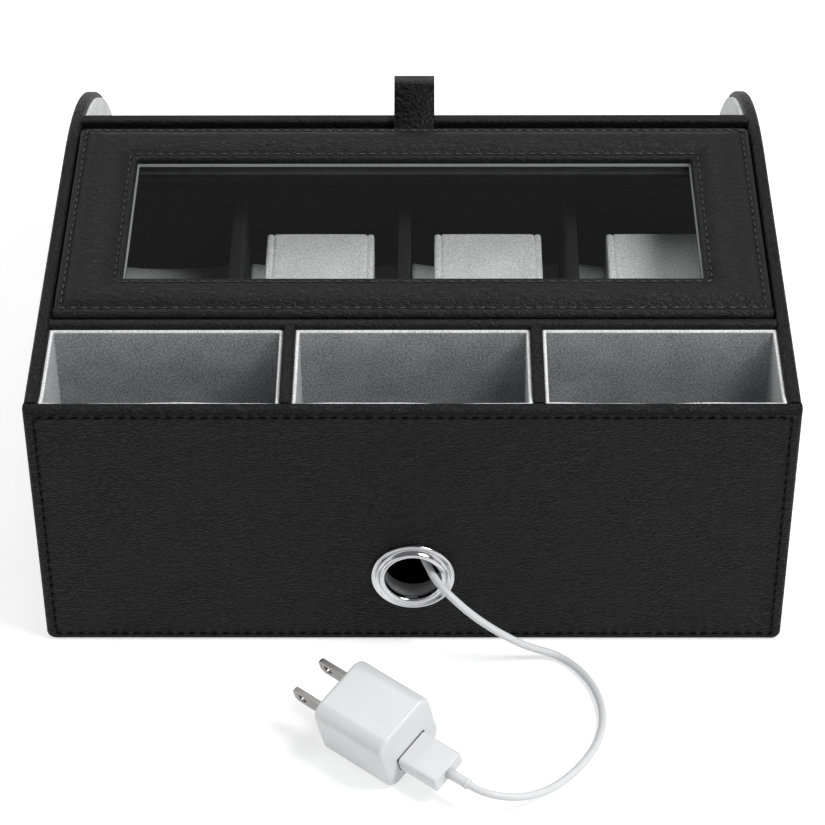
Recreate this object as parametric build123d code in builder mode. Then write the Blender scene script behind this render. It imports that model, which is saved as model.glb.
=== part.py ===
"""Desk valet: a leather-wrapped box with a glazed watch case, device pockets, an open tray and a drawer.

Origin at the middle of the footprint on the floor, +Z up, the user's side towards -Y, millimetres.
"""

import os
from math import cos, pi, radians, sin, sqrt, tan

from build123d import *

os.makedirs("parts", exist_ok=True)

# Box: outer sizes of the leather-wrapped boards
width = 240.0
depth = 243.0
height = 97.4
board = 4.3
edge_round = 1.2
back_corner_round = 3.0

# Wings: the side panels' tops run level, then curve down to the front
wing_start = 139.0
nose_height = 37.5
wing_nose_round = 6.0

# Inner boards and the spaces between them, from the back to the front
thin_board = 3.4
pocket_clear = 38.6
case_clear = 112.1
rim_drop = 0.8
felt = 1.0
base_board = 3.0
deck_underside = 28.0
deck_board = 3.0
bay_clear = 65.7
rail_top = 37.0
rail_bottom = 27.2

# Pockets and their suede
pocket_board = 3.9
pocket_floor_top = 43.0
pocket_floor_board = 3.0
lining = 1.2
lining_drop = 2.0
lining_corner_round = 2.0
cable_hole_radius = 7.0

# Tray and wing linings
wing_lining_inset = 2.2

# Watch case: insert, dividers, pads and pillows
insert_wall = 2.0
insert_floor = 1.5
insert_top = 67.5
insert_gap = 0.3
watch_divider_board = 4.2
watch_divider_shift = 3.5
floor_pad = 2.5
floor_pad_gap = 0.4
pillow_share = 0.691
pillow_length = 60.0
pillow_height = 32.0
pillow_round = 6.0
pillow_pinch = 2.2
pillow_seam_inset = 2.4
pillow_gap = 0.3
pillow_back_clear = 27.0

# Lid: core, cover, glass and pull tab
lid_side_gap = 0.6
lid_rear_gap = 3.7
lid_front_gap = 7.1
lid_proud = 1.5
lid_thick = 9.4
lid_cover_thick = 1.2
lid_rear_round = 2.2
lid_edge_round = 1.8
lid_crown = 0.5
lid_crown_sink = 0.6
lid_seam_inset = 2.4
window_side_border = 20.9
window_rear_border = 15.7
window_front_border = 18.7
window_round = 1.0
glass_drop = 3.3
glass = 2.5
glass_overlap = 3.0
backing_inset = 0.3
stop_lap = 4.3
stop_thick = 5.0
stop_gap = 0.3
tab_width = 14.0
tab_thick = 1.8
tab_root = 9.0
tab_level = 2.0
tab_length = 21.3
tab_bend = 4.0
tab_angle = 28.0
tab_drop = 3.3
tab_slot_gap = 0.1

# Leather hinge along the lid's rear edge: a roll that the lid turns on and the strip that holds it
hinge_radius = 2.2
hinge_gap = 0.15
hinge_lead = 0.3
hinge_drop = 2.9
hinge_strip_thick = 1.2
hinge_strip_drop = 0.4

# Drawer
drawer_floor_gap = 1.0
drawer_top_gap = 0.6
drawer_side_gap = 0.6
drawer_run_gap = 0.4
drawer_rear_gap = 2.0
drawer_wall = 3.0
drawer_bottom = 2.5
drawer_box_drop = 1.6
drawer_lining = 1.0
drawer_lining_drop = 1.5
drawer_box_gap = 0.8
drawer_tab_reach = 12.0
drawer_tab_drop = 1.0

# Cord grommet
grommet_height = 28.4
grommet_hole = 9.0
grommet_wall = 1.0
grommet_flange = 13.5
grommet_proud = 2.2
grommet_flange_edge = 0.5
grommet_lip = 1.9
grommet_seat_gap = 0.1
washer_radius = 11.4
washer = 1.0
flare_reach = 1.2
flare = 0.8

# Lead, its plug and the charger
cord_radius = 1.25
charger_length = 27.5
charger_width = 25.0
charger_height = 23.4
charger_corner_round = 4.8
charger_end_round = 1.4
charger_turn = 40.0
charger_roll = 15.0
port_drop = 3.6
port_width = 12.2
port_height = 4.7
port_depth = 12.0
port_gap = 0.1
blade_pitch = 12.7
blade_width = 6.3
blade_thick = 1.5
blade_length = 13.9
blade_lift = 2.8
blade_tip = 1.4
blade_hole = 1.6
blade_hole_inset = 3.6
plug_gap = 0.4
plug_width = 13.2
plug_height = 5.6
plug_length = 14.6
plug_round = 1.2
relief_length = 8.0
relief_radius = 1.55
relief_tip_radius = 1.45
lead_straight = 8.6
plug_straight = 5.0
socket_x = 0.2
socket_out = 59.4

# Corners of the lead's route: x, distance out of the back, z
lead_corners = [
    (23.5, -18.2, 20.0),
    (14.0, -19.6, 23.2),
    (5.2, -18.4, 26.6),
    (-1.2, -12.6, 29.4),
    (-4.2, -4.4, 30.4),
    (-7.4, 4.8, 30.2),
    (-13.3, 10.8, 27.7),
    (-19.8, 11.4, 20.8),
    (-27.8, 10.4, 12.8),
    (-37.0, 9.2, 5.4),
    (-46.5, 8.2, 1.25),
    (-54.3, 15.6, 1.25),
    (-59.4, 26.0, 1.25),
    (-60.9, 38.0, 1.25),
    (-57.8, 50.0, 1.25),
    (-50.8, 60.6, 1.25),
    (-43.6, 68.0, 2.0),
    (-37.2, 73.2, 4.2),
    (-30.0, 77.2, 7.4),
]
run_share = 0.45

# Stored lead: piled loops, their tie and the device end
coil_x = 44.0
coil_from_back = 36.0
coil_outer = 19.4
coil_pitch = 4.0
coil_rise = 3.6
coil_layers = 4
turns_in_layer = 2
steps_in_turn = 4
samples_in_turn = 60
turn_share = 0.25
coil_stub = 16.0
tie_wall = 0.8
tie_width = 8.0
tie_gap = 0.4
connector_length = 16.0
connector_width = 7.0
connector_height = 4.6
connector_round = 1.5
tongue_length = 6.6
tongue_width = 5.0
tongue_height = 1.5

# Places that follow from those sizes
overall_depth = grommet_proud + depth + drawer_tab_reach
back_y = overall_depth / 2 - grommet_proud
front_y = back_y - depth
inside_x = width / 2 - board
back_inner_y = back_y - board
pocket_front_y = back_inner_y - pocket_clear
case_back_y = pocket_front_y - thin_board
case_front_y = case_back_y - case_clear
tray_back_y = case_front_y - board
rail_back_y = front_y + board
floor_top = felt + base_board
deck_top = deck_underside + deck_board
bay_front_y = back_inner_y - bay_clear
wing_start_y = back_y - wing_start
wing_run = depth - wing_start
wing_drop = height - nose_height
wing_radius = (wing_run**2 + wing_drop**2) / (2 * wing_drop)
wing_centre_z = height - wing_radius
pocket_width = (2 * inside_x - 2 * pocket_board) / 3
pocket_xs = [side * (pocket_width + pocket_board) for side in (-1, 0, 1)]
rim_height = height - rim_drop
lid_top = height + lid_proud
lid_rear_y = case_back_y - lid_rear_gap
lid_front_y = case_front_y + lid_front_gap
lid_length = lid_rear_y - lid_front_y
lid_bottom = lid_top - lid_thick
lid_half = inside_x - lid_side_gap
lid_mid_y = (lid_rear_y + lid_front_y) / 2
core_top = lid_top - lid_cover_thick
core_bottom = lid_bottom + lid_cover_thick
core_half = lid_half - lid_cover_thick
core_length = lid_length - 2 * lid_cover_thick
window_width = 2 * (lid_half - window_side_border)
window_length = lid_length - window_rear_border - window_front_border
window_y = lid_rear_y - window_rear_border - window_length / 2
glass_top = lid_top - glass_drop
glass_bottom = glass_top - glass
hinge_y = lid_rear_y + hinge_lead
hinge_z = lid_top - hinge_drop
hinge_plane = Plane.YZ.offset(-lid_half)
cut = board


def save(piece, label):
    """Name a finished piece and write it."""
    piece.part.label = label
    export_step(piece.part, f"parts/{label}.step")


def place_block(low, high, mode=Mode.ADD):
    """A box between two corners, in the part that is being built."""
    middle = tuple((a + b) / 2 for a, b in zip(low, high))
    with Locations(middle):
        Box(*(b - a for a, b in zip(low, high)), mode=mode)


def make_board(label, low, high, rounded_axis=None):
    """A flat board; its upper edges along the given axis are rounded by the wrapping."""
    with BuildPart() as piece:
        place_block(low, high)
        if rounded_axis is not None:
            fillet(piece.faces().sort_by(Axis.Z)[-1].edges().filter_by(rounded_axis), edge_round)
    save(piece, label)


def make_open_box(label, low, high, wall, floor, holes=(), hole_radius=0.0, corner=0.0):
    """A box open at the top, with holes in its floor."""
    with BuildPart() as piece:
        place_block(low, high)
        inner_low = (low[0] + wall, low[1] + wall, low[2] + floor)
        inner_high = (high[0] - wall, high[1] - wall, high[2])
        place_block(inner_low, inner_high, Mode.SUBTRACT)
        if corner:
            inside = piece.edges().filter_by(Axis.Z).filter_by_position(Axis.X, inner_low[0], inner_high[0])
            fillet(inside, corner)
        for x, y in holes:
            with BuildSketch(Plane.XY.offset(low[2])):
                with Locations((x, y)):
                    Circle(hole_radius)
            extrude(amount=floor, mode=Mode.SUBTRACT)
    save(piece, label)


def make_side_panel(label, side):
    """A side panel with its wing."""
    middle_y = (wing_start_y + front_y) / 2
    middle_z = wing_centre_z + sqrt(wing_radius**2 - (middle_y - wing_start_y) ** 2)
    inner_face = Plane.YZ.offset(side * inside_x)
    with BuildPart() as panel:
        with BuildSketch(inner_face) as outline:
            with BuildLine():
                Polyline((front_y, nose_height), (front_y, 0), (back_inner_y, 0), (back_inner_y, height))
                Line((back_inner_y, height), (wing_start_y, height))
                ThreePointArc((wing_start_y, height), (middle_y, middle_z), (front_y, nose_height))
            make_face()
            fillet(outline.vertices().sort_by(Axis.X).sort_by(Axis.Y)[2], wing_nose_round)
        extrude(amount=side * board)
        flat_faces = panel.faces().filter_by(Axis.X)
        rims = flat_faces.edges().filter_by(lambda e: e.center().Z > edge_round)
        fillet([e for e in rims if e.center().Y < back_inner_y - edge_round], edge_round)
    save(panel, label)


def make_wing_lining(label, side):
    """Suede on the inside of a wing, set in a little from its curved edge."""
    radius = wing_radius - wing_lining_inset
    top_back = wing_centre_z + sqrt(radius**2 - (tray_back_y - wing_start_y) ** 2)
    top_front = wing_centre_z + sqrt(radius**2 - (rail_back_y - wing_start_y) ** 2)
    middle_y = (tray_back_y + rail_back_y) / 2
    top_middle = wing_centre_z + sqrt(radius**2 - (middle_y - wing_start_y) ** 2)
    with BuildPart() as piece:
        with BuildSketch(Plane.YZ.offset(side * inside_x)):
            with BuildLine():
                Line((rail_back_y, top_front), (rail_back_y, deck_top))
                Polyline((rail_back_y, deck_top), (tray_back_y, deck_top), (tray_back_y, top_back))
                ThreePointArc((tray_back_y, top_back), (middle_y, top_middle), (rail_back_y, top_front))
            make_face()
        extrude(amount=-side * lining)
    save(piece, label)


def make_pillow(label, x):
    """A watch pillow: a wrapped strip, fullest in the middle, drawn in at the seams of its two end caps."""
    middle_y = case_front_y + pillow_back_clear + pillow_length / 2
    middle_z = pads_top + pillow_gap + pillow_height / 2
    seam = pillow_width / 2 - pillow_seam_inset
    cap_pinch = 3 * pillow_pinch
    cap_round = pillow_round - pillow_pinch
    with BuildPart() as pillow:
        for reach, pinch in ((-seam, pillow_pinch), (0, 0), (seam, pillow_pinch)):
            with BuildSketch(Plane.YZ.offset(x + reach)):
                with Locations((middle_y, middle_z)):
                    RectangleRounded(pillow_length - pinch, pillow_height - pinch, pillow_round)
        loft()
        for side in (-1, 1):
            with BuildSketch(Plane.YZ.offset(x + side * seam)):
                with Locations((middle_y, middle_z)):
                    RectangleRounded(pillow_length - pillow_pinch, pillow_height - pillow_pinch, pillow_round)
            with BuildSketch(Plane.YZ.offset(x + side * pillow_width / 2)):
                with Locations((middle_y, middle_z)):
                    RectangleRounded(pillow_length - cap_pinch, pillow_height - cap_pinch, cap_round)
            loft()
    save(pillow, label)


def window_sketch(grow):
    """The lid's window, grown on every side."""
    with Locations((0, window_y)):
        Rectangle(window_width + 2 * grow, window_length + 2 * grow)


def upright_plane(start, end):
    """An upright plane from one point towards another, with their distance."""
    along = end - start
    return Plane(origin=start, x_dir=along, z_dir=along.cross(Vector(0, 0, 1))), along.length


def middle_plane(first, second):
    """The upright plane halfway along a side, between two mitres."""
    start = (first[0].origin + second[0].origin) / 2
    reach = first[0].x_dir * first[1] + second[0].x_dir * second[1]
    return upright_plane(start, start + reach / 2)


def mitre_planes():
    """Upright planes through the lid's mitres, from the outer seam to the window seam."""
    outer = (lid_half - lid_seam_inset, lid_length / 2 - lid_seam_inset)
    inner = (window_width / 2 + lid_seam_inset, window_length / 2 + lid_seam_inset)
    for sx, sy in ((-1, -1), (1, -1), (1, 1), (-1, 1)):
        start = Vector(sx * outer[0], lid_mid_y + sy * outer[1], lid_top)
        end = Vector(sx * inner[0], window_y + sy * inner[1], lid_top)
        yield upright_plane(start, end)


# Base, deck and the boards that stand on them
base_front_y = rail_back_y + drawer_run_gap
bay_wall_y = bay_front_y - thin_board
make_board("base_felt", (-inside_x, base_front_y, 0), (inside_x, back_inner_y, felt))
make_board("base_panel", (-inside_x, base_front_y, felt), (inside_x, back_inner_y, floor_top))
make_board("deck_panel", (-inside_x, rail_back_y, deck_underside), (inside_x, pocket_front_y, deck_top))
make_board("bay_wall", (-inside_x, bay_wall_y, floor_top), (inside_x, bay_front_y, deck_underside))
make_board("case_rear_wall", (-inside_x, case_back_y, deck_top), (inside_x, pocket_front_y, height), Axis.X)
make_board("case_front_wall", (-inside_x, tray_back_y, deck_top), (inside_x, case_front_y, rim_height), Axis.X)
make_board("front_rail", (-inside_x, front_y, rail_bottom), (inside_x, rail_back_y, rail_top), Axis.X)
stop_top = lid_bottom - stop_gap
stop_back_y = lid_front_y + stop_lap
make_board("lid_stop_strip", (-inside_x, case_front_y, stop_top - stop_thick), (inside_x, stop_back_y, stop_top))

# Side panels and their linings
for side, word in ((-1, "left"), (1, "right")):
    make_side_panel(f"{word}_side_panel", side)
    make_wing_lining(f"wing_lining_{word}", side)

# Back panel with the grommet hole
with BuildPart() as back_panel:
    with BuildSketch(Plane.XZ.offset(-back_y)) as outline:
        with Locations((0, height / 2)):
            Rectangle(width, height)
        fillet(outline.vertices().group_by(Axis.Y)[0], back_corner_round)
        with Locations((0, grommet_height)):
            Circle(grommet_hole + grommet_wall + grommet_seat_gap, mode=Mode.SUBTRACT)
    extrude(amount=board)
    fillet(back_panel.faces().sort_by(Axis.Y)[-1].outer_wire().edges(), edge_round)
    fillet(back_panel.faces().sort_by(Axis.Y)[0].edges().sort_by(Axis.Z)[-1], edge_round)
save(back_panel, "back_panel")

# Pockets: floor with cable holes, dividers and linings
pocket_mid_y = (back_inner_y + pocket_front_y) / 2
with BuildPart() as pocket_floor:
    floor_low = pocket_floor_top - pocket_floor_board
    place_block((-inside_x, pocket_front_y, floor_low), (inside_x, back_inner_y, pocket_floor_top))
    with BuildSketch(Plane.XY.offset(floor_low)):
        with Locations(*[(x, pocket_mid_y) for x in pocket_xs]):
            Circle(cable_hole_radius)
    extrude(amount=pocket_floor_board, mode=Mode.SUBTRACT)
save(pocket_floor, "pocket_floor")
for side, word in ((-1, "left"), (1, "right")):
    near = side * pocket_width / 2
    far = near + side * pocket_board
    make_board(
        f"pocket_divider_{word}",
        (min(near, far), pocket_front_y, pocket_floor_top),
        (max(near, far), back_inner_y, height),
        Axis.Y,
    )
for x, word in zip(pocket_xs, ("left", "centre", "right")):
    make_open_box(
        f"pocket_lining_{word}",
        (x - pocket_width / 2, pocket_front_y, pocket_floor_top),
        (x + pocket_width / 2, back_inner_y, height - lining_drop),
        lining,
        lining,
        [(x, pocket_mid_y)],
        cable_hole_radius,
        lining_corner_round,
    )

# Tray suede: floor and the front face of the watch case
make_board(
    "tray_floor_lining",
    (lining - inside_x, rail_back_y, deck_top),
    (inside_x - lining, tray_back_y, deck_top + lining),
)
make_board(
    "tray_rear_lining",
    (lining - inside_x, tray_back_y - lining, deck_top + lining),
    (inside_x - lining, tray_back_y, rim_height - lining_drop),
)

# Watch insert, dividers, floor pads and pillows
insert_half = inside_x - insert_gap
insert_floor_top = deck_top + insert_floor
pads_top = insert_floor_top + floor_pad
insert_low_y = case_front_y + insert_gap
insert_high_y = case_back_y - insert_gap
make_open_box(
    "watch_insert",
    (-insert_half, insert_low_y, deck_top),
    (insert_half, insert_high_y, insert_top),
    insert_wall,
    insert_floor,
)
cell_half = insert_half - insert_wall
watch_pitch = (2 * cell_half + watch_divider_board) / 4
pillow_width = pillow_share * (watch_pitch - watch_divider_board)
divider_xs = [watch_divider_shift + watch_pitch * step for step in (-1, 0, 1)]
for number, x in enumerate(divider_xs, start=1):
    make_board(
        f"watch_divider_{number}",
        (x - watch_divider_board / 2, insert_low_y + insert_wall, insert_floor_top),
        (x + watch_divider_board / 2, insert_high_y - insert_wall, insert_top),
        Axis.Y,
    )
cell_edges = [-cell_half]
for x in divider_xs:
    cell_edges += [x - watch_divider_board / 2, x + watch_divider_board / 2]
cell_edges.append(cell_half)
cells = list(zip(cell_edges[0::2], cell_edges[1::2]))
with BuildPart() as watch_floor_pads:
    for low_x, high_x in cells:
        place_block(
            (low_x + floor_pad_gap, insert_low_y + insert_wall + floor_pad_gap, insert_floor_top),
            (high_x - floor_pad_gap, insert_high_y - insert_wall - floor_pad_gap, pads_top),
        )
save(watch_floor_pads, "watch_floor_pads")
for number, (low_x, high_x) in enumerate(cells[:-1], start=1):
    make_pillow(f"watch_pillow_{number}", (low_x + high_x) / 2)

# Lid core: a frame rebated from below for the glass and its bead
tab_z = lid_top - tab_drop
with BuildPart() as lid_frame:
    place_block(
        (-core_half, lid_front_y + lid_cover_thick, core_bottom),
        (core_half, lid_rear_y - lid_cover_thick, core_top),
    )
    with BuildSketch(Plane.XY.offset(core_bottom)):
        window_sketch(lid_cover_thick)
    extrude(amount=core_top - core_bottom, mode=Mode.SUBTRACT)
    with BuildSketch(Plane.XY.offset(core_bottom)):
        window_sketch(glass_overlap)
    extrude(amount=glass_top - core_bottom, mode=Mode.SUBTRACT)
    with BuildSketch(hinge_plane):
        with Locations((hinge_y, hinge_z)):
            Circle(hinge_radius + hinge_gap)
    extrude(amount=2 * lid_half, mode=Mode.SUBTRACT)
    slot_half = tab_thick / 2 + tab_slot_gap
    place_block(
        (-tab_width / 2 - tab_slot_gap, lid_front_y, tab_z - slot_half),
        (tab_width / 2 + tab_slot_gap, lid_front_y + tab_root + tab_slot_gap, tab_z + slot_half),
        Mode.SUBTRACT,
    )
save(lid_frame, "lid_frame")

# Lid cover: rounded leather over the core, turned down into the window and puffed along its border
with BuildPart() as lid_cover:
    with BuildSketch(Plane.YZ) as outline:
        with Locations((lid_mid_y, lid_top - lid_thick / 2)):
            Rectangle(lid_length, lid_thick)
        top_corners = outline.vertices().group_by(Axis.Y)[-1].sort_by(Axis.X)
        fillet(top_corners[-1], lid_rear_round)
        fillet(outline.vertices().group_by(Axis.Y)[-1].sort_by(Axis.X)[0], lid_edge_round)
    extrude(amount=lid_half, both=True)
    ends = lid_cover.faces().filter_by(Axis.X)
    fillet([e for end in ends for e in end.edges().sort_by(Axis.Z)[1:]], lid_edge_round)
    place_block(
        (-core_half, lid_front_y + lid_cover_thick, lid_bottom),
        (core_half, lid_rear_y - lid_cover_thick, core_top),
        Mode.SUBTRACT,
    )
    with BuildSketch(Plane.XY.offset(glass_top)):
        window_sketch(lid_cover_thick)
    extrude(amount=core_top - glass_top)
    with BuildSketch(Plane.XY.offset(lid_bottom)):
        window_sketch(0)
    extrude(amount=lid_thick + cut, mode=Mode.SUBTRACT)
    sill = lid_cover.edges().filter_by(lambda e: abs(e.center().Z - lid_top) < lid_crown)
    fillet(
        [
            e
            for e in sill
            if abs(e.center().X) < window_width / 2 + window_round
            and abs(e.center().Y - window_y) < window_length / 2 + window_round
        ],
        window_round,
    )
    mitres = list(mitre_planes())
    crown_planes = []
    for first, second in zip(mitres, mitres[1:] + mitres[:1]):
        crown_planes += [first, middle_plane(first, second)]
    for pair in zip(crown_planes, crown_planes[1:] + crown_planes[:1]):
        for plane, length in pair:
            with BuildSketch(plane):
                with BuildLine():
                    Polyline((0, 0), (0, -lid_crown_sink), (length, -lid_crown_sink), (length, 0))
                    ThreePointArc((length, 0), (length / 2, lid_crown), (0, 0))
                make_face()
        loft(ruled=True)
    with BuildSketch(hinge_plane):
        with Locations((hinge_y, hinge_z)):
            Circle(hinge_radius + hinge_gap)
    extrude(amount=2 * lid_half, mode=Mode.SUBTRACT)
    place_block(
        (-tab_width / 2 - tab_slot_gap, lid_front_y, tab_z - slot_half),
        (tab_width / 2 + tab_slot_gap, lid_front_y + lid_cover_thick, tab_z + slot_half),
        Mode.SUBTRACT,
    )
save(lid_cover, "lid_cover")

# Glass, the bead that holds it and the suede under the frame
with BuildPart() as lid_glass:
    with BuildSketch(Plane.XY.offset(glass_bottom)):
        window_sketch(glass_overlap)
    extrude(amount=glass)
save(lid_glass, "lid_glass")
with BuildPart() as lid_glazing_bead:
    with BuildSketch(Plane.XY.offset(core_bottom)):
        window_sketch(glass_overlap)
        with Locations((0, window_y)):
            Rectangle(window_width, window_length, mode=Mode.SUBTRACT)
    extrude(amount=glass_bottom - core_bottom)
save(lid_glazing_bead, "lid_glazing_bead")
with BuildPart() as lid_backing:
    place_block(
        (backing_inset - core_half, lid_front_y + lid_cover_thick + backing_inset, lid_bottom),
        (core_half - backing_inset, lid_rear_y - lid_cover_thick - backing_inset, core_bottom),
    )
    with BuildSketch(Plane.XY.offset(lid_bottom)):
        window_sketch(0)
    extrude(amount=lid_cover_thick, mode=Mode.SUBTRACT)
save(lid_backing, "lid_backing")

# Leather hinge on the case's rear wall
strip_top = hinge_z - hinge_strip_drop
with BuildPart() as hinge_strip:
    with BuildSketch(hinge_plane):
        with Locations((hinge_y, hinge_z)):
            Circle(hinge_radius)
    extrude(amount=2 * lid_half)
    place_block((-lid_half, hinge_y, strip_top - hinge_strip_thick), (lid_half, case_back_y, strip_top))
save(hinge_strip, "hinge_strip")

# Lid pull tab: rooted in the core, bent up over the rim
with BuildPart() as lid_tab:
    with BuildSketch(Plane.YZ.offset(-tab_width / 2)):
        with BuildLine():
            tip_y = lid_front_y - tab_level - tab_length * cos(radians(tab_angle))
            tip_z = tab_z + tab_length * sin(radians(tab_angle))
            root_point = (lid_front_y + tab_root, tab_z)
            FilletPolyline(root_point, (lid_front_y - tab_level, tab_z), (tip_y, tip_z), radius=tab_bend)
        trace(line_width=tab_thick)
    extrude(amount=tab_width)
save(lid_tab, "lid_tab")

# Drawer
drawer_half = inside_x - drawer_side_gap
drawer_front_top = rail_bottom - drawer_top_gap
box_half = inside_x - drawer_box_gap
box_low = floor_top + drawer_run_gap
box_high = drawer_front_top - drawer_box_drop
box_rear_y = bay_front_y - thin_board - drawer_rear_gap
drawer_tab_z = drawer_front_top - drawer_tab_drop - tab_thick
with BuildPart() as drawer_front:
    place_block((-drawer_half, front_y, drawer_floor_gap), (drawer_half, rail_back_y, drawer_front_top))
    fillet(drawer_front.faces().sort_by(Axis.Y)[0].edges(), edge_round)
    place_block(
        (-tab_width / 2 - tab_slot_gap, front_y, drawer_tab_z - tab_slot_gap),
        (tab_width / 2 + tab_slot_gap, rail_back_y, drawer_tab_z + tab_thick + tab_slot_gap),
        Mode.SUBTRACT,
    )
save(drawer_front, "drawer_front")
make_open_box(
    "drawer_box",
    (-box_half, rail_back_y, box_low),
    (box_half, box_rear_y, box_high),
    drawer_wall,
    drawer_bottom,
)
make_open_box(
    "drawer_lining",
    (drawer_wall - box_half, rail_back_y + drawer_wall, box_low + drawer_bottom),
    (box_half - drawer_wall, box_rear_y - drawer_wall, box_high - drawer_lining_drop),
    drawer_lining,
    drawer_lining,
)
with BuildPart() as drawer_tab:
    place_block(
        (-tab_width / 2, front_y - drawer_tab_reach, drawer_tab_z),
        (tab_width / 2, rail_back_y, drawer_tab_z + tab_thick),
    )
    fillet(drawer_tab.edges().filter_by(Axis.Z).group_by(Axis.Y)[0], tab_width / 4)
save(drawer_tab, "drawer_tab")

# Grommet: a rolled eyelet clinched over a washer inside the back panel
barrel = grommet_hole + grommet_wall
grommet_plane = Plane(origin=(0, back_y, grommet_height), x_dir=(1, 0, 0), z_dir=(0, 0, 1))
grommet_axis = Axis((0, back_y, grommet_height), (0, 1, 0))
flare_top = -board - washer
lip_base = grommet_proud / 2
with BuildPart() as grommet_eyelet:
    with BuildSketch(grommet_plane):
        with BuildLine():
            Line((grommet_hole, flare_top - flare), (grommet_hole, lip_base))
            ThreePointArc(
                (grommet_hole, lip_base),
                (grommet_hole + grommet_lip / 2, grommet_proud),
                (grommet_hole + grommet_lip, lip_base + grommet_flange_edge),
            )
            RadiusArc(
                (grommet_hole + grommet_lip, lip_base + grommet_flange_edge),
                (grommet_flange, grommet_flange_edge),
                grommet_flange / 2,
            )
            Polyline(
                (grommet_flange, grommet_flange_edge),
                (grommet_flange, 0),
                (barrel, 0),
                (barrel, flare_top),
                (barrel + flare_reach, flare_top),
                (barrel + flare_reach, flare_top - flare),
                (grommet_hole, flare_top - flare),
            )
        make_face()
    revolve(axis=grommet_axis)
save(grommet_eyelet, "grommet_eyelet")
with BuildPart() as grommet_washer:
    with BuildSketch(Plane.XZ.offset(-back_inner_y)):
        with Locations((0, grommet_height)):
            Circle(washer_radius)
            Circle(barrel + grommet_seat_gap, mode=Mode.SUBTRACT)
    extrude(amount=washer)
save(grommet_washer, "grommet_washer")

# Charger lying on the floor, with the plug in its port
plug_way = Vector(-cos(radians(charger_turn)), sin(radians(charger_turn)), 0)
roll = radians(charger_roll)
corner_x = charger_width / 2 - charger_corner_round
corner_y = charger_height / 2 - charger_corner_round - port_drop
port_height_up = corner_x * sin(roll) + corner_y * cos(roll) + charger_corner_round
socket = Plane(
    origin=(socket_x, back_y + socket_out, port_height_up),
    x_dir=Vector(0, 0, 1).cross(plug_way) * cos(roll) + Vector(0, 0, sin(roll)),
    z_dir=plug_way,
)
with BuildPart() as charger_body:
    with BuildSketch(socket):
        with Locations((0, port_drop)):
            RectangleRounded(charger_width, charger_height, charger_corner_round)
    extrude(amount=-charger_length)
    charger_ends = charger_body.faces().filter_by(Axis((0, 0, 0), plug_way))
    fillet(charger_ends.edges(), charger_end_round)
    with BuildSketch(socket):
        Rectangle(port_width, port_height)
    extrude(amount=-port_depth, mode=Mode.SUBTRACT)
save(charger_body, "charger_body")
blade_way = Plane(origin=socket.origin, x_dir=plug_way, z_dir=socket.x_dir)
blade_y = -blade_lift - port_drop
blade_end = -charger_length - blade_length
with BuildPart() as charger_blades:
    for side in (-1, 1):
        with BuildSketch(blade_way.offset(side * blade_pitch / 2 - blade_thick / 2)) as blade:
            with Locations((blade_end + blade_length / 2, blade_y)):
                Rectangle(blade_length, blade_width)
            chamfer(blade.vertices().group_by(Axis.X)[0], blade_tip)
            with Locations((blade_end + blade_hole_inset, blade_y)):
                Circle(blade_hole, mode=Mode.SUBTRACT)
        extrude(amount=blade_thick)
save(charger_blades, "charger_blades")
with BuildPart() as plug_shell:
    with BuildSketch(socket.offset(plug_gap)):
        Rectangle(port_width - 2 * port_gap, port_height - 2 * port_gap)
    extrude(amount=-plug_gap - port_depth)
save(plug_shell, "plug_shell")
with BuildPart() as usb_plug:
    with BuildSketch(socket.offset(plug_gap)):
        RectangleRounded(plug_width, plug_height, plug_round)
    extrude(amount=plug_length)
    fillet(usb_plug.faces().sort_by(Axis((0, 0, 0), plug_way))[-1].edges(), plug_round / 2)
save(usb_plug, "usb_plug")
plug_end = plug_gap + plug_length
with BuildPart() as plug_strain_relief:
    with BuildSketch(socket.offset(plug_end)):
        Circle(relief_radius)
    with BuildSketch(socket.offset(plug_end + relief_length)):
        Circle(relief_tip_radius)
    loft()
save(plug_strain_relief, "plug_strain_relief")


# Stored lead: loops that spiral in and out, layer on layer
coil_y = back_y - coil_from_back
coil_z = floor_top + tie_gap + tie_wall + tie_gap + cord_radius
coil_turns = coil_layers * turns_in_layer
inner_radius = coil_outer - turns_in_layer * coil_pitch


def loop_point(turn):
    """The cord's centre after so many turns: radius in and out, and a climb where the spiral turns back."""
    layer = min(int(turn / turns_in_layer), coil_layers - 1)
    away = turn - turns_in_layer * round(turn / turns_in_layer)
    inward = round(turn / turns_in_layer) % 2 == 0
    step = abs(away)
    if step < turn_share:
        step = step**2 / (2 * turn_share) + turn_share / 2
    radius = coil_outer - coil_pitch * step if inward else inner_radius + coil_pitch * step
    climb = 0.0
    reversal = round(turn / turns_in_layer)
    if 0 < reversal < coil_layers and abs(away) < turn_share:
        part = (away + turn_share) / (2 * turn_share)
        climb = reversal - 1 + part**2 * (3 - 2 * part)
    else:
        climb = layer
    angle = pi / 2 + 2 * pi * turn
    return Vector(coil_x + radius * cos(angle), coil_y + radius * sin(angle), coil_z + coil_rise * climb)


def loop_way(turn):
    """The cord's direction there."""
    small = turn_share / coil_turns / 1000
    before = max(turn - small, 0)
    after = min(turn + small, coil_turns)
    if turn in (0, coil_turns):
        return Vector(-1, 0, 0)
    return (loop_point(after) - loop_point(before)).normalized()


def add_biarc(start, start_way, end, end_way):
    """Two arcs that leave the start and reach the end along the given directions."""
    span = end - start
    both = start_way + end_way
    bend = 2 * (1 - start_way.dot(end_way))
    reach = (sqrt(span.dot(both) ** 2 + bend * span.dot(span)) - span.dot(both)) / bend
    first = start + start_way * reach
    second = end - end_way * reach
    joint = (first + second) / 2
    TangentArc(start, joint, tangent=start_way)
    TangentArc(joint, end, tangent=second - first)


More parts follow.
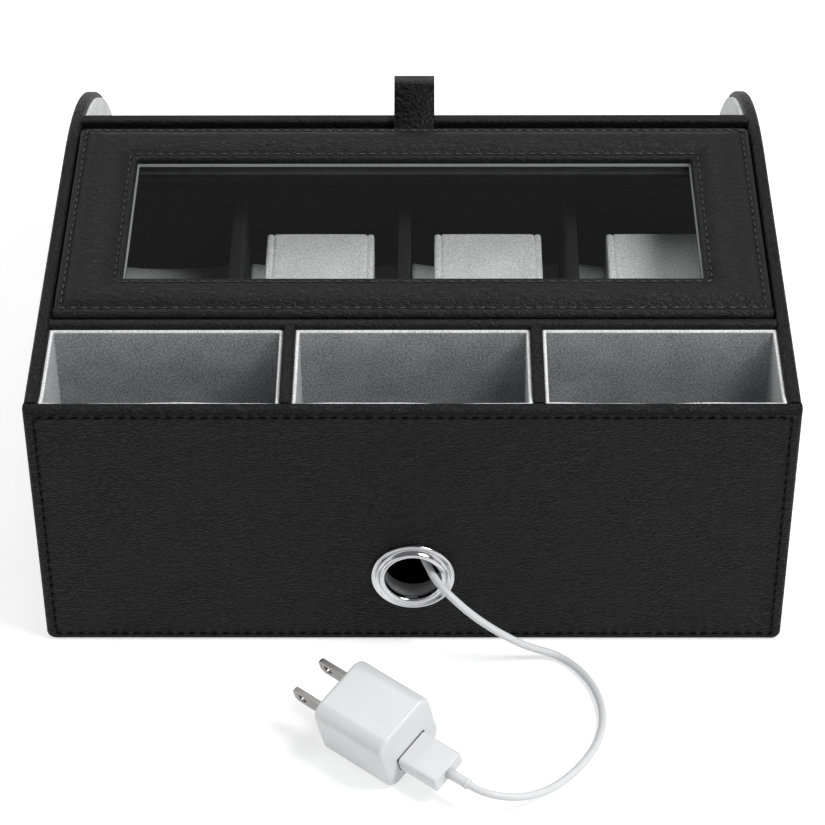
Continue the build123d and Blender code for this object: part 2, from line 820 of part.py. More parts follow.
coil_start = loop_point(0)
coil_end = loop_point(coil_turns)
with BuildPart() as cord_coil:
    with BuildLine() as loops:
        Line(coil_start + Vector(coil_stub, 0, 0), coil_start)
        marks = [step / steps_in_turn for step in range(coil_turns * steps_in_turn + 1)]
        for before, after in zip(marks, marks[1:]):
            add_biarc(loop_point(before), loop_way(before), loop_point(after), loop_way(after))
        Line(coil_end, coil_end - Vector(2 * cord_radius, 0, 0))
    with BuildSketch(Plane(origin=loops.line @ 0, z_dir=loops.line % 0)):
        Circle(cord_radius)
    sweep()
save(cord_coil, "cord_coil")
coil_length = loops.wires()[0].length
samples = [loop_point(step / samples_in_turn) for step in range(samples_in_turn * coil_turns + 1)]
least = coil_outer
for index, sample in enumerate(samples):
    for other in samples[index + samples_in_turn // 2 :]:
        least = min(least, (sample - other).length)
print("coil length", round(coil_length, 1), "least gap to itself", round(least - 2 * cord_radius, 2))

# Tie round the loops, and the device end of the lead
loops_low = coil_z - cord_radius - tie_gap
loops_high = coil_z + coil_rise * (coil_layers - 1) + cord_radius + tie_gap
tie_near = coil_y - coil_outer - cord_radius - tie_gap
tie_far = coil_y - inner_radius + cord_radius + tie_gap
with BuildPart() as cord_tie:
    place_block(
        (coil_x - tie_width / 2, tie_near - tie_wall, loops_low - tie_wall),
        (coil_x + tie_width / 2, tie_far + tie_wall, loops_high + tie_wall),
    )
    place_block(
        (coil_x - tie_width / 2, tie_near, loops_low),
        (coil_x + tie_width / 2, tie_far, loops_high),
        Mode.SUBTRACT,
    )
save(cord_tie, "cord_tie")
device_end = Plane(origin=coil_start + Vector(coil_stub, 0, 0), x_dir=(0, 1, 0), z_dir=(1, 0, 0))
with BuildPart() as device_connector:
    with BuildSketch(device_end):
        RectangleRounded(connector_width, connector_height, connector_round)
    extrude(amount=connector_length)
    with BuildSketch(device_end.offset(connector_length)):
        Rectangle(tongue_width, tongue_height)
    extrude(amount=tongue_length)
save(device_connector, "device_connector")

# Lead from the loops through the grommet and along the floor to the plug
lead_start = coil_end - Vector(2 * cord_radius, 0, 0)
relief_tip = socket.origin + plug_way * (plug_end + relief_length)
lead_points = [lead_start, lead_start - Vector(lead_straight, 0, 0)]
lead_points += [Vector(x, back_y + out, z) for x, out, z in lead_corners]
lead_points += [relief_tip + plug_way * plug_straight, relief_tip]
lead_radii = []
for before, corner, after in zip(lead_points, lead_points[1:], lead_points[2:]):
    run_in = corner - before
    run_out = after - corner
    turn = radians(run_in.get_angle(run_out))
    lead_radii.append(run_share * min(run_in.length, run_out.length) / tan(turn / 2))
print("lead bend radii", [round(r, 1) for r in lead_radii])
with BuildPart() as cord_lead:
    with BuildLine() as route:
        FilletPolyline(*lead_points, radius=lead_radii)
    with BuildSketch(Plane(origin=route.line @ 0, z_dir=route.line % 0)):
        Circle(cord_radius)
    sweep()
save(cord_lead, "cord_lead")
lead_length = route.wires()[0].length
print("lead length", round(lead_length, 1), "volume against section times length")
print(round(cord_lead.part.volume, 1), round(pi * cord_radius**2 * lead_length, 1))
print("whole cord", round(lead_length + coil_length, 1))
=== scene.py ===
"""Looks of a desk valet: leather shell, glazed watch lid, suede pockets and tray, and a charging lead.

Every size is in metres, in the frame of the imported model.
"""

import math

import bmesh
import bpy
from bpy.props import FloatProperty, FloatVectorProperty, IntProperty, PointerProperty
from mathutils import Matrix, Vector


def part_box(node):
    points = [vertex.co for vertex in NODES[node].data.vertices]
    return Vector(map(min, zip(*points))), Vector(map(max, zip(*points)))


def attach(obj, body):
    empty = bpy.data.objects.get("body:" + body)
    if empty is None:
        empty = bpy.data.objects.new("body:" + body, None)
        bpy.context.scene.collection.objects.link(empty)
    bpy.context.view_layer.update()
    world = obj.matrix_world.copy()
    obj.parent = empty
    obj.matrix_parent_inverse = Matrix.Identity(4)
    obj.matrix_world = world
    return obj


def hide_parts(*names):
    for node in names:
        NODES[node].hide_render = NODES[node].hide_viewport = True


bl_info = {
    "name": "Desk valet looks",
    "version": (1, 0, 0),
    "blender": (4, 5, 0),
    "location": "View3D > Sidebar > Valet",
    "description": "Dresses the desk valet: leather, suede, glass, chrome, stitches, pillows and lead",
    "category": "Object",
}

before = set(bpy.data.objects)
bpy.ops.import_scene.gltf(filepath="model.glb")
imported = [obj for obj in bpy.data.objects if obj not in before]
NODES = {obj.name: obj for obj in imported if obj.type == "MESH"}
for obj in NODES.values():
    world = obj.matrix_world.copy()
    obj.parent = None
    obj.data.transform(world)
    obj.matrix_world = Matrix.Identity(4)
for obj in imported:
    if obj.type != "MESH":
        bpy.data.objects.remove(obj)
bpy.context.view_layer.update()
MM = 0.001
BACK_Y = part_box("back_panel")[1].y
# Middle of the charger's port, in millimetres from the back panel's outer face, and the plug's turn in it.
PORT = (0.2, 59.4, 9.98)
PLUG_TURN = math.radians(40.0)
# How far a row of stitches lies outside its leather, and the back panel's row from the panel's edges.
THREAD_PROUD = 0.05 * MM
ROW_SIDE, ROW_UNDER, ROW_OVER = 3.2 * MM, 2.5 * MM, 2.9 * MM
# The finishes that have been mixed, by name.
MATERIALS = {}


class ValetSizes(bpy.types.PropertyGroup):
    """Sizes of the sewn and padded details."""

    stitch_pitch: FloatProperty(
        name="Stitch pitch", description="Distance from stitch to stitch", default=3.65 * MM, unit="LENGTH"
    )
    stitch_length: FloatProperty(
        name="Stitch length", description="Length of the thread that shows", default=2.5 * MM, unit="LENGTH"
    )
    thread: FloatProperty(
        name="Thread", description="Thickness of the thread", default=0.62 * MM, unit="LENGTH"
    )
    lid_crown: FloatProperty(
        name="Lid crown", description="Height of the padding along the lid's border",
        default=2.0 * MM, unit="LENGTH",
    )
    seam_dip: FloatProperty(
        name="Seam dip", description="How deep a row of stitches draws the padding in",
        default=0.4 * MM, unit="LENGTH",
    )
    cord_diameter: FloatProperty(
        name="Cord", description="Diameter of the lead", default=2.5 * MM, unit="LENGTH"
    )
    coil_steps: IntProperty(
        name="Coil steps", description="Points in one turn of the stored lead", default=12
    )


class ValetColours(bpy.types.PropertyGroup):
    """Colours of the valet's materials."""

    leather: FloatVectorProperty(
        name="Leather", description="Shell leather", subtype="COLOR", size=3, default=(0.0095, 0.0095, 0.0103)
    )
    lid_leather: FloatVectorProperty(
        name="Lid leather", description="Lid and case leather", subtype="COLOR", size=3,
        default=(0.0092, 0.0092, 0.01),
    )
    tab: FloatVectorProperty(
        name="Tab leather", description="Pebbled leather of the tabs", subtype="COLOR", size=3,
        default=(0.0012, 0.0012, 0.0012),
    )
    suede: FloatVectorProperty(
        name="Grey suede", description="Lining of pockets and tray", subtype="COLOR", size=3,
        default=(0.40, 0.404, 0.41),
    )
    # On the pockets' top edges this suede is a painted highlight over the grey lining.
    pale_suede: FloatVectorProperty(
        name="Pale suede", description="Wings, floor pads and pocket edges", subtype="COLOR", size=3,
        default=(0.80, 0.80, 0.805),
    )
    pillow: FloatVectorProperty(
        name="Pillow suede", description="Watch pillows", subtype="COLOR", size=3,
        default=(0.60, 0.61, 0.605),
    )
    velvet: FloatVectorProperty(
        name="Velvet", description="Watch insert", subtype="COLOR", size=3, default=(0.011, 0.011, 0.011)
    )
    chrome: FloatVectorProperty(
        name="Chrome", description="Cord grommet", subtype="COLOR", size=3, default=(0.58, 0.58, 0.59)
    )
    plastic: FloatVectorProperty(
        name="White plastic", description="Charger, plug and lead", subtype="COLOR", size=3,
        default=(0.80, 0.81, 0.82),
    )


class ValetStage(bpy.types.PropertyGroup):
    """Camera and light."""

    lens: FloatProperty(name="Lens", description="Focal length in millimetres", default=130.95)
    pitch: FloatProperty(
        name="Pitch", description="Camera's tilt down", default=math.radians(39.88), subtype="ANGLE"
    )
    yaw: FloatProperty(name="Yaw", description="Camera's turn", default=math.radians(-0.48), subtype="ANGLE")
    roll: FloatProperty(
        name="Roll", description="Camera's roll", default=math.radians(-0.32), subtype="ANGLE"
    )
    key_light: FloatProperty(
        name="Key light", description="Power of the lamp on the right", default=13.5, unit="POWER"
    )
    top_light: FloatProperty(
        name="Top light", description="Power of the lamp overhead", default=6.0, unit="POWER"
    )
    fill_light: FloatProperty(
        name="Fill light", description="Power of the lamp on the left", default=4.0, unit="POWER"
    )


# Node helpers


def fill(node, inputs):
    """Set a node's inputs; an input is a value or another node's output."""
    for name, value in inputs.items():
        if isinstance(value, bpy.types.NodeSocket):
            node.id_data.links.new(value, node.inputs[name])
        else:
            node.inputs[name].default_value = value


def add_node(tree, kind, inputs=None, **props):
    """A node with its settings and inputs."""
    node = tree.nodes.new(kind)
    for name, value in props.items():
        setattr(node, name, value)
    fill(node, inputs or {})
    return node


def math_node(operation, *values):
    """The result of one sum, in the tree that its values come from."""
    tree = next(value.id_data for value in values if isinstance(value, bpy.types.NodeSocket))
    return add_node(tree, "ShaderNodeMath", dict(enumerate(values)), operation=operation).outputs[0]


def new_material(name):
    """The shader of a new material, and the piece's own coordinates."""
    material = MATERIALS[name] = bpy.data.materials.new(name)
    material.use_nodes = True
    place = add_node(material.node_tree, "ShaderNodeTexCoord").outputs["Object"]
    return material.node_tree.nodes["Principled BSDF"], place


def axes(place):
    """The three coordinates of a place."""
    return add_node(place.id_data, "ShaderNodeSeparateXYZ", {"Vector": place}).outputs


def noise(place, scale, detail=3.0, rough=0.55, stretch=(1, 1, 1)):
    """Noise of so many grains to the metre, drawn out along an axis."""
    tree = place.id_data
    grains = add_node(tree, "ShaderNodeMapping", {"Vector": place, "Scale": [scale * s for s in stretch]})
    inputs = {"Vector": grains.outputs[0], "Scale": 1.0, "Detail": detail, "Roughness": rough}
    return add_node(tree, "ShaderNodeTexNoise", inputs).outputs["Fac"]


def between(value, low, high, start=0.0, end=1.0):
    """A value's run from start to end, brought between two numbers."""
    inputs = {"Value": value, "From Min": start, "From Max": end, "To Min": low, "To Max": high}
    return add_node(value.id_data, "ShaderNodeMapRange", inputs).outputs["Result"]


def ramp(value, low, high, dark, light):
    """A value turned into a colour between two colours."""
    node = add_node(value.id_data, "ShaderNodeValToRGB", {"Fac": value})
    for index, (position, colour) in enumerate(((low, dark), (high, light))):
        node.color_ramp.elements[index].position = position
        node.color_ramp.elements[index].color = (*colour, 1)
    return node.outputs["Color"]


def mottled(value, low, high, colour, share):
    """A colour that a value makes darker and lighter by a share."""
    dark = [c * (1 - share) for c in colour]
    light = [min(c * (1 + share), 1) for c in colour]
    return ramp(value, low, high, dark, light)


def bump(shader, height, distance, strength, under=None, invert=False):
    """Relief from a height, over another relief."""
    inputs = {"Height": height, "Distance": distance, "Strength": strength}
    if under is not None:
        inputs["Normal"] = under
    relief = add_node(shader.id_data, "ShaderNodeBump", inputs, invert=invert).outputs[0]
    fill(shader, {"Normal": relief})
    return relief


def seen_rays(tree):
    """One for rays of the camera and for what glossy and clear surfaces show, and else nothing."""
    rays = add_node(tree, "ShaderNodeLightPath").outputs
    seen = math_node("MAXIMUM", rays["Is Camera Ray"], rays["Is Glossy Ray"])
    return math_node("MAXIMUM", seen, rays["Is Transmission Ray"])


# Materials


def leather_material(name, colour, across, stretch, gloss, depth, seam=None):
    """Wrapped leather: fine wavy ripples that run on and break, with painted shade in their troughs and
    painted light on their crests, and folds along a sewn edge, darkened as painted shade.
    """
    shader, place = new_material(name)
    wave, sway, seam_width = 1.25 * MM, 20.0, 0.6 * MM
    lines = add_node(place.id_data, "ShaderNodeVectorMath", {0: place, 1: across}, operation="DOT_PRODUCT")
    bends = math_node("MULTIPLY", noise(place, 400, 1, 0.5, stretch), sway)
    phase = math_node("MULTIPLY_ADD", lines.outputs["Value"], 2 * math.pi / wave, bends)
    breaks = between(noise(place, 70, 3), 0.45, 1.1, 0.3, 0.7)
    ripple = math_node("MULTIPLY", math_node("SINE", phase), breaks)
    relief = math_node("MULTIPLY_ADD", noise(place, 800, 2, 0.6, stretch), 1.3, ripple)
    # Painted shade and light: the colour follows the ripple, darker in its troughs and lighter on its crests.
    tone = math_node("MULTIPLY_ADD", ripple, 0.3, 0.5)
    grain = bump(shader, relief, depth, 0.9)
    if seam:
        half_wide, middle, half_high, fold = seam
        x, _, z = axes(place)
        aside = math_node("SUBTRACT", math_node("ABSOLUTE", x), half_wide)
        above = math_node("ABSOLUTE", math_node("SUBTRACT", z, middle))
        row = math_node("MAXIMUM", aside, math_node("SUBTRACT", above, half_high))
        crease = math_node("ABSOLUTE", math_node("SUBTRACT", z, fold))
        near = math_node("MINIMUM", math_node("ABSOLUTE", row), crease)
        dip = math_node("SMOOTH_MIN", math_node("DIVIDE", near, seam_width), 1.0, 0.4)
        # Painted shade: the colour darkens along the stitch row and along the crease under the top edge.
        tone = math_node("MULTIPLY", tone, dip)
        bump(shader, dip, 0.25 * MM, 0.8, grain)
    base_colour = mottled(tone, 0.0, 1.0, colour, 0.8)
    rough = between(tone, 0.62, 0.36)
    fill(shader, {"Base Color": base_colour, "Roughness": rough, "Specular IOR Level": gloss})


def tab_material(colour):
    """Coarse pebbled leather, with a painted highlight that makes its colour pale along the tip of the lid's
    tab.
    """
    shader, place = new_material("tab_leather")
    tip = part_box("lid_tab")[1].z
    drift = math_node("SUBTRACT", noise(place, 60, 3), 0.5)
    # Painted highlight: the colour grows pale towards the top of the tab's tip, where light falls on its
    # fold; a random drift is mixed in.
    highlight_and_wear = between(axes(place)["Z"], 0.0, 0.9, tip - 1.5 * MM, tip - 0.3 * MM)
    highlight_and_wear = math_node("MULTIPLY_ADD", drift, 0.3, highlight_and_wear)
    highlight_gain = 45
    base_colour = ramp(highlight_and_wear, 0.0, 1.0, colour, [c * highlight_gain for c in colour])
    rough = between(noise(place, 1500, 3), 0.3, 0.5)
    cells = {"Vector": place, "Scale": 780}
    pebbles = add_node(place.id_data, "ShaderNodeTexVoronoi", cells, feature="SMOOTH_F1")
    bump(shader, pebbles.outputs["Distance"], 0.5 * MM, 0.8, invert=True)
    fill(shader, {"Base Color": base_colour, "Roughness": rough, "Specular IOR Level": 0.1})


def suede_material(name, colour, nap=0.3, speckle=0.26):
    """Short nap: speckled fibres, soft brushed patches and a sheen at grazing angles."""
    shader, place = new_material(name)
    specks = math_node("MULTIPLY", noise(place, 1500, 2, 0.6), 0.55)
    tone = math_node("MULTIPLY_ADD", noise(place, 2800, 2, 0.6), 0.3, specks)
    brushed = noise(place, 90, 4, 0.6, (1, 0.7, 1.3))
    tone = math_node("MULTIPLY_ADD", brushed, 0.15, tone)
    bump(shader, tone, 0.35 * MM, 0.6)
    base_colour = mottled(tone, 0.4, 0.6, colour, speckle)
    fill(shader, {"Base Color": base_colour, "Roughness": 0.95, "Specular IOR Level": 0.1})
    fill(shader, {"Sheen Weight": nap, "Sheen Roughness": 0.45})


def fibre_material(name, colour, scale, share, rough, gloss, depth, strength):
    """Pressed fibres: felt or board."""
    shader, place = new_material(name)
    tangle = noise(place, scale, 5, 0.7)
    bump(shader, tangle, depth, strength)
    base_colour = mottled(tangle, 0.35, 0.65, colour, share)
    fill(shader, {"Base Color": base_colour, "Roughness": rough, "Specular IOR Level": gloss})


def glass_material():
    """Clear polished glass that lets lamps light what is under it."""
    shader, place = new_material("window_glass")
    film = between(noise(place, 9, 2), 0.0, 0.02)
    rays = add_node(place.id_data, "ShaderNodeLightPath").outputs
    lamps = math_node("MAXIMUM", rays["Is Shadow Ray"], rays["Is Diffuse Ray"])
    fill(shader, {"Base Color": (0.97, 0.985, 0.98, 1), "Transmission Weight": 1.0, "IOR": 1.45})
    fill(shader, {"Roughness": film, "Alpha": math_node("SUBTRACT", 1.0, lamps)})


def metal_material(name, colour, rough, brushed=0.0, stretch=(1, 1, 1)):
    """Polished or brushed metal."""
    shader, place = new_material(name)
    smear = noise(place, 70, 4, 0.6, stretch)
    bump(shader, noise(place, 1600, 2, 0.5, stretch), 0.04 * MM, 0.05 + brushed)
    plating = mottled(smear, 0.3, 0.7, colour, 0.04)
    highlight_and_wear = between(smear, rough * 0.7, rough * 1.4)
    fill(shader, {"Base Color": plating, "Metallic": 1.0, "Roughness": highlight_and_wear})
    return shader, place


def chrome_material(colour):
    """Polished chrome outside, dull plating inside the barrel."""
    shader, place = metal_material("bright_chrome", colour, 0.12)
    deep = between(axes(place)["Y"], 0.6, 0.06, BACK_Y - 0.6 * MM, BACK_Y + 0.6 * MM)
    fill(shader, {"Roughness": math_node("MULTIPLY_ADD", noise(place, 300, 3), 0.12, deep)})


def plastic_material(name, colour, rough, texture):
    """Moulded plastic: even colour, a trace of flow and fine texture."""
    shader, place = new_material(name)
    flow = noise(place, 40, 3)
    bump(shader, noise(place, 2200, 2), 0.05 * MM, texture)
    tint = mottled(flow, 0.35, 0.65, colour, 0.025)
    fill(shader, {"Base Color": tint, "Roughness": between(flow, rough * 0.8, rough * 1.25)})
    fill(shader, {"Subsurface Weight": 0.06, "Subsurface Radius": [1.2 * MM] * 3})


def thread_material(name, gloss, light):
    """Black thread with a faint twist."""
    shader, place = new_material(name)
    twist = noise(place, 2400, 2)
    bump(shader, twist, 0.08 * MM, 0.5)
    base_colour = ramp(twist, 0.3, 0.7, [light * 0.2] * 3, [light] * 3)
    fill(shader, {"Base Color": base_colour, "Roughness": 0.4, "Specular IOR Level": gloss})


# Mesh helpers


def new_piece(name, vertices, faces, finish, smooth=True):
    """A mesh object at the origin, in the scene."""
    mesh = bpy.data.meshes.new(name)
    mesh.from_pydata([tuple(v) for v in vertices], [], faces)
    mesh.validate()
    if smooth:
        mesh.shade_smooth()
    mesh.materials.append(MATERIALS[finish])
    piece = bpy.data.objects.new(name, mesh)
    bpy.context.scene.collection.objects.link(piece)
    return piece


def mend_normals(piece):
    """Merge doubles and turn the faces outwards."""
    work = bmesh.new()
    work.from_mesh(piece.data)
    bmesh.ops.remove_doubles(work, verts=work.verts, dist=1e-6)
    bmesh.ops.recalc_face_normals(work, faces=work.faces)
    work.to_mesh(piece.data)
    work.free()


def loft_rings(rings, closed=False):
    """Vertices and faces between rings of equal length, with or without end faces."""
    count = len(rings[0])
    vertices = [point for ring in rings for point in ring]
    faces = []
    for row in range(len(rings) - 1):
        for step in range(count):
            a = row * count + step
            b = row * count + (step + 1) % count
            faces.append((a, b, b + count, a + count))
    if closed:
        faces.append(tuple(reversed(range(count))))
        faces.append(tuple(range((len(rings) - 1) * count, len(rings) * count)))
    return vertices, faces


def lofted(name, rings, finish, closed=True, smooth=True):
    """A piece between rings, with its doubles merged and its faces turned outwards."""
    piece = new_piece(name, *loft_rings(rings, closed), finish, smooth)
    mend_normals(piece)
    return piece


def rounded_ring(low_x, high_x, low_y, high_y, radius, along_x, along_y, in_corner):
    """Points round a rectangle with rounded corners, against the clock."""
    left, right, near, far = low_x + radius, high_x - radius, low_y + radius, high_y - radius
    sides = (
        ((left, low_y), (right, low_y), (right, near), -90, along_x),
        ((high_x, near), (high_x, far), (right, far), 0, along_y),
        ((right, high_y), (left, high_y), (left, far), 90, along_x),
        ((low_x, far), (low_x, near), (left, near), 180, along_y),
    )
    points = []
    for start, end, corner, turn, steps in sides:
        for step in range(steps):
            points.append(tuple(a + (b - a) * (step / steps) for a, b in zip(start, end)))
        for step in range(in_corner):
            angle = math.radians(turn + 90 * step / in_corner)
            points.append((corner[0] + radius * math.cos(angle), corner[1] + radius * math.sin(angle)))
    return points


def turned_rings(centre, out, wide, up, section, around):
    """Rings about an axis; the section gives each ring's reach along the axis and its radius."""
    turns = [2 * math.pi * step / around for step in range(around)]
    spokes = [wide * math.cos(turn) + up * math.sin(turn) for turn in turns]
    return [[centre + out * reach + spoke * radius for spoke in spokes] for reach, radius in section]


def dress(finish, *names):
    """Give CAD nodes a material."""
    for name in names:
        mesh = NODES[name].data
        mesh.materials.clear()
        mesh.materials.append(MATERIALS[finish])


def stitch_tree(material):
    """Node tree that sews thread along the edges of a path."""
    tree = bpy.data.node_groups.new("stitch_row", "GeometryNodeTree")
    face = tree.interface
    face.new_socket("Path", in_out="INPUT", socket_type="NodeSocketGeometry")
    for name in ("Pitch", "Length", "Thread"):
        face.new_socket(name, in_out="INPUT", socket_type="NodeSocketFloat")
    face.new_socket("Stitches", in_out="OUTPUT", socket_type="NodeSocketGeometry")
    given = add_node(tree, "NodeGroupInput").outputs
    line = add_node(tree, "GeometryNodeMeshToCurve", {"Mesh": given["Path"]})
    spaced = {"Curve": line.outputs[0], "Length": given["Pitch"]}
    row = add_node(tree, "GeometryNodeCurveToPoints", spaced, mode="LENGTH")
    turn = add_node(tree, "FunctionNodeAlignRotationToVector", {"Vector": row.outputs["Tangent"]}, axis="X")
    bead = add_node(tree, "GeometryNodeMeshUVSphere", {"Segments": 8, "Rings": 5, "Radius": 0.5})
    thin = given["Thread"]
    size = add_node(tree, "ShaderNodeCombineXYZ", {"X": given["Length"], "Y": thin, "Z": thin})
    sewn = {"Points": row.outputs["Points"], "Instance": bead.outputs["Mesh"]}
    sewn |= {"Rotation": turn.outputs[0], "Scale": size.outputs[0]}
    place = add_node(tree, "GeometryNodeInstanceOnPoints", sewn)
    real = add_node(tree, "GeometryNodeRealizeInstances", {"Geometry": place.outputs[0]})
    soft = add_node(tree, "GeometryNodeSetShadeSmooth", {"Geometry": real.outputs[0]})
    paint = add_node(tree, "GeometryNodeSetMaterial", {"Geometry": soft.outputs[0], "Material": material})
    add_node(tree, "NodeGroupOutput", {"Stitches": paint.outputs[0]})
    return tree


def upright_row(y, start_x, end_x, low_z, high_z):
    """A closed row of stitches round an upright face."""
    corners = ((start_x, low_z), (end_x, low_z), (end_x, high_z), (start_x, high_z))
    return [(x, y, z) for x, z in corners], True


def sew(name, rows, body, thread="black_thread"):
    """Rows of stitches along paths; a row is its points and whether it closes."""
    sizes = bpy.context.scene.valet_sizes
    vertices = []
    edges = []
    for points, closed in rows:
        first = len(vertices)
        corners = [Vector(p) for p in points]
        line = []
        for a, b in zip(corners, corners[1:] + corners[:1] if closed else corners[1:]):
            steps = max(int((b - a).length / sizes.stitch_pitch), 1)
            line += [a.lerp(b, step / steps) for step in range(steps)]
        if not closed:
            line.append(corners[-1])
        vertices += line
        edges += [(first + i, first + i + 1) for i in range(len(line) - 1)]
        if closed:
            edges.append((first + len(line) - 1, first))
    path_mesh = bpy.data.meshes.new(name + "_path")
    path_mesh.from_pydata(vertices, edges, [])
    path = bpy.data.objects.new(name + "_path", path_mesh)
    bpy.context.scene.collection.objects.link(path)
    tree = bpy.data.node_groups.get("stitch_row") or stitch_tree(MATERIALS["black_thread"])
    sewing = path.modifiers.new("stitches", "NODES")
    sewing.node_group = tree
    values = {"Pitch": sizes.stitch_pitch, "Length": sizes.stitch_length, "Thread": sizes.thread}
    for socket in tree.interface.items_tree:
        if socket.in_out == "INPUT" and socket.name in values:
            sewing[socket.identifier] = values[socket.name]
    graph = bpy.context.evaluated_depsgraph_get()
    mesh = bpy.data.meshes.new_from_object(path.evaluated_get(graph))
    bpy.data.objects.remove(path)
    bpy.data.meshes.remove(path_mesh)
    piece = bpy.data.objects.new(name, mesh)
    mesh.name = name
    mesh.materials.clear()
    mesh.materials.append(MATERIALS[thread])
    bpy.context.scene.collection.objects.link(piece)
    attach(piece, body)


# Pieces


class VALET_OT_materials(bpy.types.Operator):
    """Mix the valet's leathers, suedes, metals and plastics"""

    bl_idname = "valet.materials"
    bl_label = "Materials"

    def execute(self, context):
        colours = context.scene.valet_colours
        back_low, back_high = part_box("back_panel")
        mid = (back_low.z + back_high.z) / 2
        row_middle = mid + (ROW_UNDER - ROW_OVER) / 2
        row_half = mid - (ROW_UNDER + ROW_OVER) / 2
        # The seam also sets where painted shade darkens the back along its stitch row and the crease under
        # its top edge.
        seam = (back_high.x - ROW_SIDE, row_middle, row_half, back_high.z - 1.3 * MM)
        upright, slanted, flat = (0, 0, 1), (0.3, 0.2, 1), (0, 1, 0.4)
        wide, deep = (1.05, 1.5, 1.5), (1.5, 1.05, 1.5)
        leathers = (
            ("back_leather", colours.leather, upright, wide, 0.13, 0.26 * MM, seam),
            ("front_leather", colours.leather, upright, wide, 0.13, 0.2 * MM),
            ("side_leather", colours.leather, slanted, deep, 0.13, 0.12 * MM),
            ("lid_leather", colours.lid_leather, flat, wide, 0.18, 0.085 * MM),
        )
        for leather in leathers:
            leather_material(*leather)
        felt = dict(scale=900, share=0.35, rough=0.97, gloss=0.1, depth=0.3 * MM, strength=0.6)
        board = dict(scale=420, share=0.25, rough=0.8, gloss=0.5, depth=0.12 * MM, strength=0.4)
        tab_material(colours.tab)
        suede_material("grey_suede", colours.suede, speckle=0.44)
        suede_material("pale_suede", colours.pale_suede)
        suede_material("pillow_suede", colours.pillow)
        suede_material("black_velvet", colours.velvet, nap=0.04)
        fibre_material("base_felt", (0.03, 0.03, 0.031), **felt)
        fibre_material("tie_black", (0.02, 0.02, 0.02), **felt)
        glass_material()
        plastic_material("ground_glass", (0.24, 0.247, 0.244), 0.5, 0.3)
        chrome_material(colours.chrome)
        # Painted shade: the plug shell's steel is darkened so that the gap round the plug reads dark.
        metal_material("bright_steel", (0.16, 0.16, 0.165), 0.3, 0.3, (0.1, 1, 1))
        metal_material("blade_nickel", (0.25, 0.247, 0.24), 0.26, 0.2, (0.2, 0.2, 1))
        plastic_material("white_gloss", colours.plastic, 0.22, 0.1)
        plastic_material("white_cord", colours.plastic, 0.42, 0.2)
        thread_material("black_thread", 0.04, 0.002)
        # The lid's thread is the same black thread, given a lighter colour as a painted highlight, and more
        # gloss.
        thread_material("lit_lid_thread", 0.9, 0.01)
        fibre_material("dark_board", (0.02, 0.02, 0.02), **board)
        fibre_material("board_wood", (0.30, 0.21, 0.13), **board)
        return {"FINISHED"}


class VALET_OT_shell(bpy.types.Operator):
    """Wrap the boards of the box and sew their edges"""

    bl_idname = "valet.shell"
    bl_label = "Leather shell"

    def execute(self, context):
        dress("back_leather", "back_panel")
        dress("side_leather", "left_side_panel", "right_side_panel")
        dress("side_leather", "pocket_divider_left", "pocket_divider_right")
        dress("lid_leather", "case_rear_wall", "case_front_wall", "front_rail", "hinge_strip")
        low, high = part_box("back_panel")
        left, right = low.x + ROW_SIDE, high.x - ROW_SIDE
        rows = [upright_row(high.y + THREAD_PROUD, left, right, low.z + ROW_UNDER, high.z - ROW_OVER)]
        for name, way in (("left_side_panel", -1), ("right_side_panel", 1)):
            rows.append((self.side_row(name, way), True))
        sew("shell_stitches", rows, "carcase")
        return {"FINISHED"}

    def side_row(self, name, way):
        """The sewn outline of a side panel, level along the top and curved down over the wing."""
        low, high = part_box(name)
        x = (high.x if way > 0 else low.x) + way * THREAD_PROUD
        inset, nose, steps = 3.2 * MM, 37.5 * MM, 40
        start = BACK_Y - 139.0 * MM
        run = start - low.y
        drop = high.z - nose
        radius = (run**2 + drop**2) / (2 * drop)
        points = [(x, low.y + inset, low.z + inset), (x, high.y - inset, low.z + inset)]
        points.append((x, high.y - inset, high.z - inset))
        for step in range(steps + 1):
            reach = (run - inset) * step / steps
            z = high.z - radius + math.sqrt((radius - inset) ** 2 - reach**2)
            points.append((x, start - reach, z))
        return points


